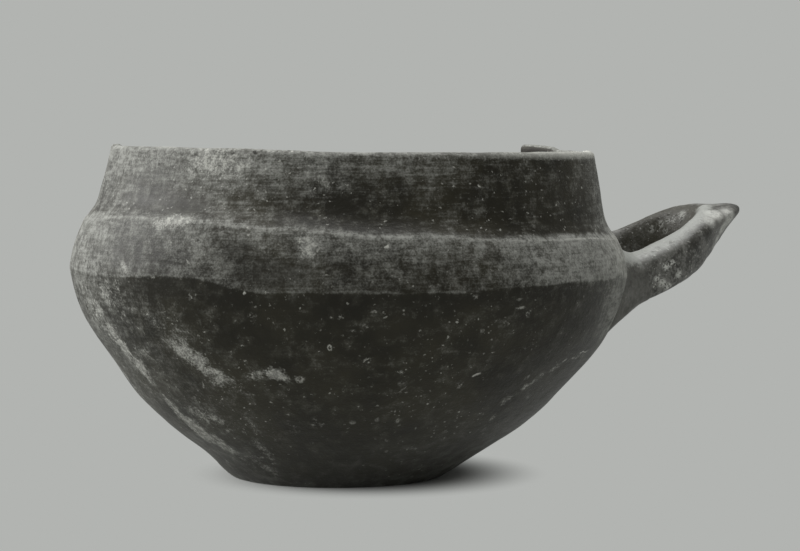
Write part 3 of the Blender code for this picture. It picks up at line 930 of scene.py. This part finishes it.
def rub_and_highlight_share(clay, zone, mottle, smears, root_smear, lip_wear_and_highlight):
    """How far the burnish is rubbed off, together with painted highlights and sheen: most on the shoulder,
    the limbs and the edges.
    """
    near_ridge = zone.from_ridge.rise(-10, 0.5)
    on_shoulder = 0.19 + near_ridge * (0.14 + 0.20 * zone.front) + 0.06 * zone.front
    # The left is paler partly from dust and partly as painted light on the lamps' side; the right partly as
    # painted sheen
    on_shoulder = on_shoulder + 1.05 * zone.right + 0.20 * zone.left + 0.36 * zone.far_left
    under_lip = clay.height.rise(RIM_HEIGHT - 17, RIM_HEIGHT - 1) * clay.turn.rise(0.75, 0.1) * zone.off_back
    on_neck = 0.08 + zone.left * (0.20 + 0.42 * clay.height.rise(89, 103)) + 0.15 * zone.far_left
    on_neck = on_neck + 0.85 * zone.right_limb + 0.40 * under_lip * (1 - zone.left)
    below = clay.turn.rise(-0.3, -0.85) * zone.off_back * 0.20
    below = below + zone.far_left * clay.height.rise(22, 56) * 0.32 + root_smear * 0.95
    below = below + zone.right * zone.from_edge.rise(-10, -1) * 0.25
    rub_and_highlight = on_shoulder * zone.shoulder + on_neck * zone.above_ridge + below * (1 - zone.above_edge)
    rub_and_highlight = rub_and_highlight + root_smear * 0.15 + smears * 0.30
    rub_and_highlight = rub_and_highlight + (mottle.broad - 0.5) * 0.35 + (mottle.streaks - 0.5) * 0.3 * zone.above_ridge
    # Painted highlights: thin pale lines along the carination and the ridge, and on the lip's worn top
    edge_highlight = zone.from_edge.band(-0.2, 0.5, 0.4) * 0.16
    ridge_highlight = (zone.from_ridge + zone.wander * 0.3).band(-0.3, 0.5, 0.6) * (0.34 + 0.05 * zone.right)
    rub_and_highlight = rub_and_highlight + edge_highlight + ridge_highlight + lip_wear_and_highlight * (0.20 + 0.55 * zone.right)
    return (rub_and_highlight + (mottle.grain - 0.5) * 2.4).rise(0.0, 1.0)


def inside_share(clay, lip_wear_and_highlight):
    """1 on the inner face, but not on the top of the lip, which is worn and painted as a highlight."""
    outwards = clay.vector("NORMALIZE", clay.vector("MULTIPLY", clay.from_axis, (1, 1, 0)))
    facing_up = clay.facing(UP)
    inside = clay.facing(outwards).rise(0.0, -0.2) | facing_up.rise(0.4, 0.6) * clay.radius.rise(73, 70)
    return inside * (1 - lip_wear_and_highlight * facing_up.rise(0.45, 0.8))


def white_grit(clay, zone, mottle):
    """Two masks: white grit in crowds, and chalky blooms round it on the dark body."""
    crowded = (mottle.patchy * 0.6 + mottle.broad * 0.8).rise(0.55, 0.85) | zone.above_ridge * 0.8
    sparse = 1 - zone.low_right * 0.6
    grit = clay.grains(1.3, 0.24, 0.34, 3) * (0.15 + 0.85 * crowded) | clay.grains(4.6, 0.36, 0.15, 17)
    blooms = clay.grains(9.0, 1.5, 0.22, 61, 0.8) | clay.grains(5.0, 0.8, 0.26, 45, 0.4)
    broken = (mottle.medium * 0.5 + mottle.fine * 0.5).rise(0.46, 0.6)
    return grit * (0.4 + 0.6 * crowded) * sparse, blooms * broken * (1 - zone.above_edge) * sparse * 0.75


def inner_clay(clay, mottle):
    """Wiped inside, with silt low down and a worn end of the rim."""
    wiped = (mottle.streaks * 0.6 + mottle.broad * 0.8).rise(0.55, 0.95)
    silt = clay.height.rise(34, 10) * (mottle.patchy * 0.9 + mottle.fine * 0.4).rise(0.5, 0.95)
    worn_end = clay.turn.band(-1.65, -1.43, 0.08) * clay.height.rise(RIM_HEIGHT - 8, RIM_HEIGHT - 3)
    inner = clay.blend(wiped, CLAY_INSIDE_DARK, CLAY_INSIDE_PALE)
    return clay.blend(silt * 0.4 | worn_end, inner, LIME_SMEAR)


def burnished_clay():
    clay = Finish("burnished_clay")
    zone = wall_zones(clay)
    mottle = wall_mottle(clay)
    fine, medium, patchy, streaks = mottle.fine, mottle.medium, mottle.patchy, mottle.streaks
    body = dark_body(clay, zone, mottle)
    wall = clay.frayed(4.0, 5.0)
    root_smear = clay.marks(ROOT_SMEARS, wall, 0.1, 1.5)
    smears = clay.marks(PALE_SMEARS, wall, 0.2, 2.7)
    # The lip's top: worn, and painted as a highlight
    lip_wear_and_highlight = (clay.height + (fine - 0.5) * 1.2).rise(RIM_HEIGHT - 2.2, RIM_HEIGHT - 0.2)
    worn_and_highlit = rub_and_highlight_share(clay, zone, mottle, smears, root_smear, lip_wear_and_highlight)
    inside = inside_share(clay, lip_wear_and_highlight)
    outside = 1 - inside

    # Pale smears, scratches and rings, and white grit
    smears = (smears * 1.25 + (mottle.grain - 0.5) * 3.6).rise(0.45, 1.2)
    chalk = clay.blend((medium * 0.6 + fine * 0.6).rise(0.5, 0.76), LIME_SMEAR, LIME_AND_HIGHLIGHT_WHITE)
    wall = clay.frayed(3.0, 2.2)
    flecks = clay.marks(WHITE_FLECKS, wall, 0.45, 1.1) * (0.4 + 0.6 * fine.rise(0.4, 0.55))
    rings = clay.marks(RING_PITS, wall, 0.55, 1.25) * (1 - clay.marks(RING_PITS, wall, 0.15, 0.55))
    grit, blooms = white_grit(clay, zone, mottle)
    flecked = (rings * fine.rise(0.38, 0.5) * 0.7 | flecks) * outside | grit * (0.45 + 0.4 * outside)

    # Dark stains, a painted shade under the carination, pocks and pits
    kept_pale = zone.far_left | root_smear | zone.right * 0.8
    # Painted shade: a dark band just under the carination, where the wall turns downwards
    shade_under_edge = zone.from_edge.band(-5.0, -0.6, 0.6) * zone.off_back * (1 - kept_pale) * 0.6
    stain_and_shade = (clay.marks(DARK_STAINS, wall, 0.3, 1.2) | shade_under_edge) * outside
    pocks = clay.grains(2.4, 0.50, 0.50, 29, 0.3) * zone.left * medium.rise(0.62, 0.42) * 0.8
    pits = clay.grains(6.0, 0.55, 0.16, 83, 0.2) | clay.marks(DARK_PITS, wall, 0.7, 1.1) * outside

    # Painted highlights on the right side: along the lip and the ridge, and a painted sheen on the
    # shoulder's limb
    lip_highlight = lip_wear_and_highlight * zone.right * clay.turn.rise(1.9, 1.6) * 0.7
    crest_highlight = zone.from_ridge.band(-0.2, 0.3, 0.3) * (0.08 + 0.66 * zone.right) * medium.rise(0.3, 0.6)
    limb_sheen = zone.right_limb * zone.shoulder * clay.turn.rise(2.1, 1.6)
    limb_sheen = limb_sheen * (patchy * 0.6 + medium * 0.5).rise(0.35, 0.75) * 0.8

    powder = (fine * 0.5 + medium * 0.5 + patchy * 0.4 + streaks * 0.4).rise(0.69, 1.08)
    colour = clay.blend(worn_and_highlit * outside, body, clay.blend(powder, RUB_AND_SHEEN_DARK, RUB_AND_SHEEN_PALE))
    colour = clay.blend(stain_and_shade * 0.7 | pocks * outside, colour, CLAY_BLACK_AND_SHADE)
    colour = clay.blend(lip_highlight * outside, colour, LIME_AND_HIGHLIGHT_WHITE)
    colour = clay.blend((crest_highlight | limb_sheen) * outside, colour, LIME_AND_HIGHLIGHT_WHITE)
    colour = clay.blend((smears * 0.9 | blooms) * outside, colour, chalk)
    colour = clay.blend(inside, colour, inner_clay(clay, mottle))
    underside = clay.facing(UP).rise(-0.75, -0.95)
    colour = clay.blend(underside * (0.35 + 0.6 * patchy.rise(0.4, 0.65)), colour, RUB_AND_SHEEN_PALE)
    colour = clay.blend(pits * 0.85, colour, CLAY_BLACK_AND_SHADE)
    colour = clay.blend(flecked, colour, LIME_AND_HIGHLIGHT_WHITE)

    pale = worn_and_highlit | smears | inside * 0.5 | underside
    roughness = 0.46 + 0.26 * pale + (fine - 0.5) * 0.25 + (streaks - 0.5) * 0.2
    relief = fine * 0.08 + medium * 0.10 + patchy * 0.24 + streaks * 0.05
    return clay.finish(colour, roughness, relief, 0.24)


def broken_clay():
    """The rough core that shows where the rim is lost."""
    clay = Finish("broken_clay")
    lumps = clay.clouds(3.5, 5)
    fine = clay.clouds(0.8, 3, shift=5)
    grit = clay.grains(1.8, 0.45, 0.4, 11) | clay.grains(4.0, 0.7, 0.35, 23)
    colour = clay.blend(lumps.rise(0.35, 0.65), BROKEN_DARK, BROKEN_PALE)
    colour = clay.blend(grit * 0.7, colour, LIME_AND_HIGHLIGHT_WHITE)
    relief = lumps * 0.9 + fine * 0.3 + grit * 0.15
    return clay.finish(colour, 0.8 + (fine - 0.5) * 0.2, relief, 0.3)


# The handle's clay


def worn_and_lit_top():
    """Spots along the near arm's top, from the root to the tip, where it is worn and painted as a highlight.
    """
    shares = np.linspace(0.04, 0.47, 12)
    places = settled(np.array([strap_ring(share, STRAP_SIDES)[STRAP_SIDES // 3] for share in shares]))
    return [(tuple(place), 10.5 - 14.0 * share, 1.0) for place, share in zip(places, shares)]


def handle_clay():
    clay = Finish("handle_clay")
    broad = clay.clouds(14, 4, shift=21)
    patchy = clay.clouds(4.0, 5, shift=33)
    fine = clay.clouds(0.9, 3, shift=2)
    pulled = clay.clouds(5, 4, (1, 1, 0.35), shift=51)
    ragged = patchy + fine - 1

    # Lime, grit and soot
    lime = clay.spots(LIME_SPOTS, ragged * 1.2)
    lime = lime * (0.45 + 0.55 * (fine * 0.7 + patchy * 0.7).rise(0.55, 0.85))
    lime = lime | clay.spots(LIME_FLECKS, ragged * 1.8) * (fine * 0.8 + patchy * 0.3).rise(0.47, 0.59)
    crusts = clay.grains(4.2, 0.9, 0.20, 13, 0.35) * fine.rise(0.38, 0.6)
    grit = clay.grains(1.2, 0.28, 0.40, 37) | clay.grains(3.4, 0.50, 0.26, 3)
    soot = clay.grains(2.2, 0.45, 0.36, 71, 0.25) * broad.rise(0.6, 0.4)
    smoked = clay.spots(SOOT_SPOTS, ragged)

    # The near arm's top, worn and painted pale as a highlight, and the inside of the loop and the far arm,
    # darkened as painted shade
    facing_up = clay.facing(UP)
    worn_and_highlit = clay.spots(worn_and_lit_top(), ragged) * (facing_up + ragged * 0.8).rise(0.05, 0.5)
    # Painted shade on the far arm's faces towards the front and up, and on the loop's inner faces
    far_arm_shade = clay.facing(FRONT).rise(0.0, 0.5) | facing_up.rise(0.0, 0.5)
    far_arm_shade = clay.far_side() * far_arm_shade * (0.35 + 0.5 * patchy.rise(0.65, 0.35))
    loop_shade = clay.facing(FRONT_RIGHT).rise(-0.1, -0.5) | far_arm_shade

    colour = clay.blend((broad * 0.5 + patchy * 0.7).rise(0.48, 0.72), HANDLE_DARK, HANDLE_GREY)
    paler = (pulled * 0.3 + patchy * 0.3 + fine * 0.7).rise(0.58, 0.74)
    colour = clay.blend(paler * 0.85, colour, HANDLE_PALE)
    colour = clay.blend(loop_shade * (1 - worn_and_highlit) * 0.85, colour, CLAY_BROWN_AND_SHADE)
    colour = clay.blend(worn_and_highlit * 0.9, colour, PALE_TOP_WEAR_AND_HIGHLIGHT)
    colour = clay.blend(lime, colour, LIME_CRUST)
    colour = clay.blend((crusts * 0.5 | grit * 0.7) * (1 - loop_shade * 0.6), colour, LIME_AND_HIGHLIGHT_WHITE)
    colour = clay.blend(soot * 0.8 | smoked, colour, CLAY_BLACK_AND_SHADE)
    roughness = 0.46 + 0.26 * lime + (fine - 0.5) * 0.3
    relief = patchy * 0.3 + fine * 0.12 + pulled * 0.15 + grit * 0.1 + crusts * 0.12 - soot * 0.2
    return clay.finish(colour, roughness, relief, 0.45)


def luting_clay():
    """Clay of the collars and pads."""
    clay = Finish("luting_clay")
    patchy = clay.clouds(5.0, 5, shift=27)
    fine = clay.clouds(0.9, 3, shift=7)
    wiped = clay.clouds(4.5, 4, (1.8, 1.8, 0.7), shift=15)
    # Paler where it faces up, and less so on the far side: partly wear and partly a painted highlight
    worn_and_highlit = (clay.facing(UP) + (patchy + fine - 1) * 0.8).rise(0.2, 0.8) * (1 - 0.7 * clay.far_side())
    grit = clay.grains(1.7, 0.25, 0.22, 41) | clay.grains(3.6, 0.4, 0.2, 9)
    pits = clay.grains(3.6, 0.4, 0.2, 67, 0.2)
    colour = clay.blend((wiped * 0.4 + patchy * 0.5 + fine * 0.4).rise(0.45, 0.85), LUTE_DARK, LUTE_PALE)
    colour = clay.blend(clay.height.rise(58, 50) * 0.5, colour, CLAY_BROWN_AND_SHADE)
    colour = clay.blend(worn_and_highlit * 0.8, colour, PALE_TOP_WEAR_AND_HIGHLIGHT)
    colour = clay.blend(pits * 0.8, colour, CLAY_BLACK_AND_SHADE)
    colour = clay.blend(grit * 0.7, colour, LIME_AND_HIGHLIGHT_WHITE)
    relief = wiped * 0.35 + patchy * 0.25 + fine * 0.12 + grit * 0.1 - pits * 0.3
    return clay.finish(colour, 0.58 + (fine - 0.5) * 0.3, relief, 0.4)


# Stage


def stage_paper():
    """Pale paper that takes the bowl's shadow close by and is one even tone further off."""
    stage = Finish("stage_paper")
    stage.feed(stage.shader.inputs["Base Color"], (*PAPER, 1.0))
    stage.feed(stage.shader.inputs["Roughness"], 0.9)
    stage.feed(stage.shader.inputs["Specular IOR Level"], 0.0)
    near = stage.vector("DISTANCE", stage.place, SHADOW_MIDDLE, output="Value")
    camera_ray, glossy_ray = stage.node("ShaderNodeLightPath", output=("Is Camera Ray", "Is Glossy Ray"))
    share = near.rise(*SHADOW_FADE) * (camera_ray | glossy_ray)
    lit = Tone(stage, stage.shader.outputs[0])
    plain = stage.node("ShaderNodeEmission", {}, {"Color": (*BACKDROP, 1.0), "Strength": 1.0})
    mixed = stage.node("ShaderNodeMixShader", {}, {0: share, 1: lit, 2: plain})
    stage.feed(stage.tree.nodes["Material Output"].inputs["Surface"], mixed)
    return stage.material


def stage_floor():
    floor = add(
        "stage_floor", bpy.ops.mesh.primitive_circle_add, vertices=96, radius=STAGE_RADIUS, fill_type="NGON"
    )
    floor.data.materials.append(stage_paper())


def studio_world():
    """Even light with a darker right side, behind a plain backdrop."""
    world = bpy.data.worlds.new("studio")
    world.use_nodes = True
    sky = Nodes(world.node_tree)
    side = sky.along(sky.node("ShaderNodeTexCoord", output="Generated"), FRONT_RIGHT)
    share = sky.node("ShaderNodeMapRange", {}, {"Value": side, "From Min": -0.6, "From Max": 0.8})
    light = sky.node("ShaderNodeBackground", {}, {"Color": sky.blend(share, WORLD_LEFT, WORLD_RIGHT)})
    seen = sky.node("ShaderNodeBackground", {}, {"Color": (*BACKDROP, 1.0)})
    camera_ray = sky.node("ShaderNodeLightPath", output="Is Camera Ray")
    both = sky.node("ShaderNodeMixShader", {}, {0: camera_ray, 1: light, 2: seen})
    sky.feed(sky.tree.nodes["World Output"].inputs["Surface"], both)
    bpy.context.scene.world = world


def placed(name, data, location, target):
    """A lamp or camera that looks from one place to another."""
    obj = bpy.data.objects.new(name, data)
    bpy.context.scene.collection.objects.link(obj)
    obj.location = location
    obj.rotation_euler = (target - location).to_track_quat("-Z", "Y").to_euler()
    return obj


def studio_place(aside, ahead, height):
    """A place in the studio, from distances to the camera's right, towards the front and up."""
    return Vector(FRONT_RIGHT) * aside + Vector(FRONT) * ahead + Vector(UP) * height


def light_and_camera():
    lens = bpy.data.cameras.new("camera")
    lens.sensor_width = CAMERA_SENSOR
    lens.lens = CAMERA_LENS
    lens.clip_start = 0.01
    eye = studio_place(*CAMERA_EYE)
    look = studio_place(0.0, -math.cos(CAMERA_PITCH), -math.sin(CAMERA_PITCH))
    bpy.context.scene.camera = placed("camera", lens, eye, eye + look)
    for name, place, size, power in LAMPS:
        lamp = bpy.data.lights.new(name, "AREA")
        lamp.shape = "DISK"
        lamp.size = size
        lamp.energy = power
        placed(name, lamp, studio_place(*place), studio_place(0.0, 0.0, LAMP_AIM))
    bpy.context.scene.view_settings.view_transform = "Standard"


courses = split_into_courses(turned_bowl(), burnished_clay())
lose_rim(courses["neck_collar"])
for node, course in courses.items():
    finish_piece(course, node)
strap = handle()
strap.data.materials.append(handle_clay())
finish_piece(strap, "handle_loop")
lute = luting_clay()
for word, side in (("near", -1), ("far", 1)):
    for piece, node in ((smeared_collar(word), "root_collar"), (tenon_pad(word, side), "tenon_pad")):
        piece.data.materials.append(lute)
        finish_piece(piece, f"{word}_{node}")
stage_floor()
studio_world()
light_and_camera()
